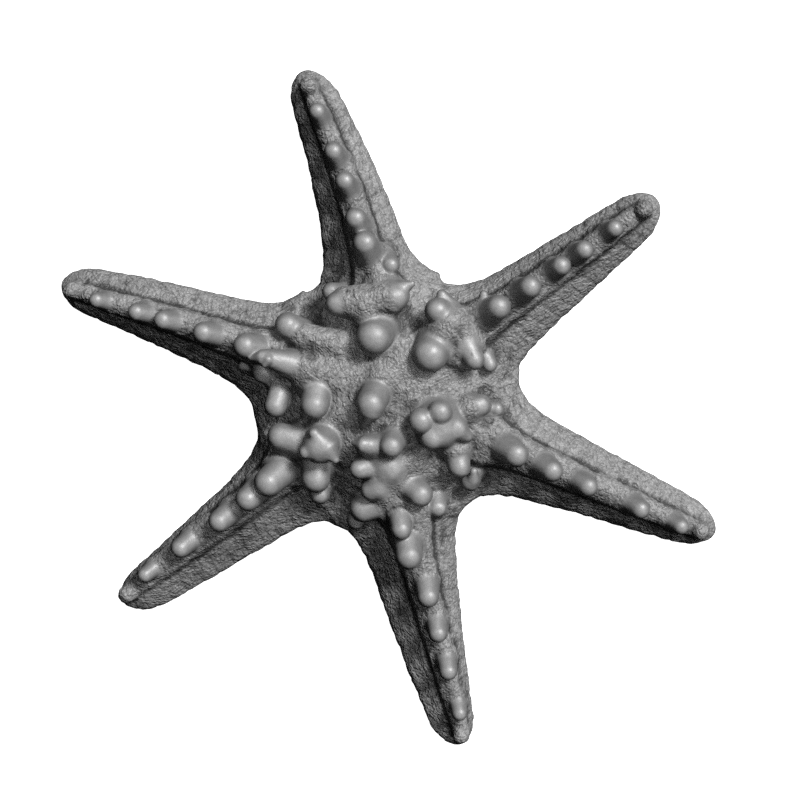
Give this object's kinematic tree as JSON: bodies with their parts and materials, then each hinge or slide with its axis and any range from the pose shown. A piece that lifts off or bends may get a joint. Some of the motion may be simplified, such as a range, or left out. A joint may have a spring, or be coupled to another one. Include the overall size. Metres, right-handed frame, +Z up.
{
  "type": "dried starfish",
  "caption": "Dried knobby starfish with a domed disc, tapering arms with a row of blunt knobs on each ridge, and a flat underside with walking grooves.",
  "frame": {"origin": "on the surface the starfish lies on, under the middle of its overall box", "axes": "+Z up out of the knobbed back; +Y towards the arm that points up in the picture; +X to the picture's right"},
  "size_m": [0.1871, 0.1951, 0.0268],
  "materials": {
    "dried_skin": "chalky grained skin with smoother, paler knob tips"
  },
  "bodies": {
    "root": {"starfish": "dried_skin"}
  },
  "joints": []
}
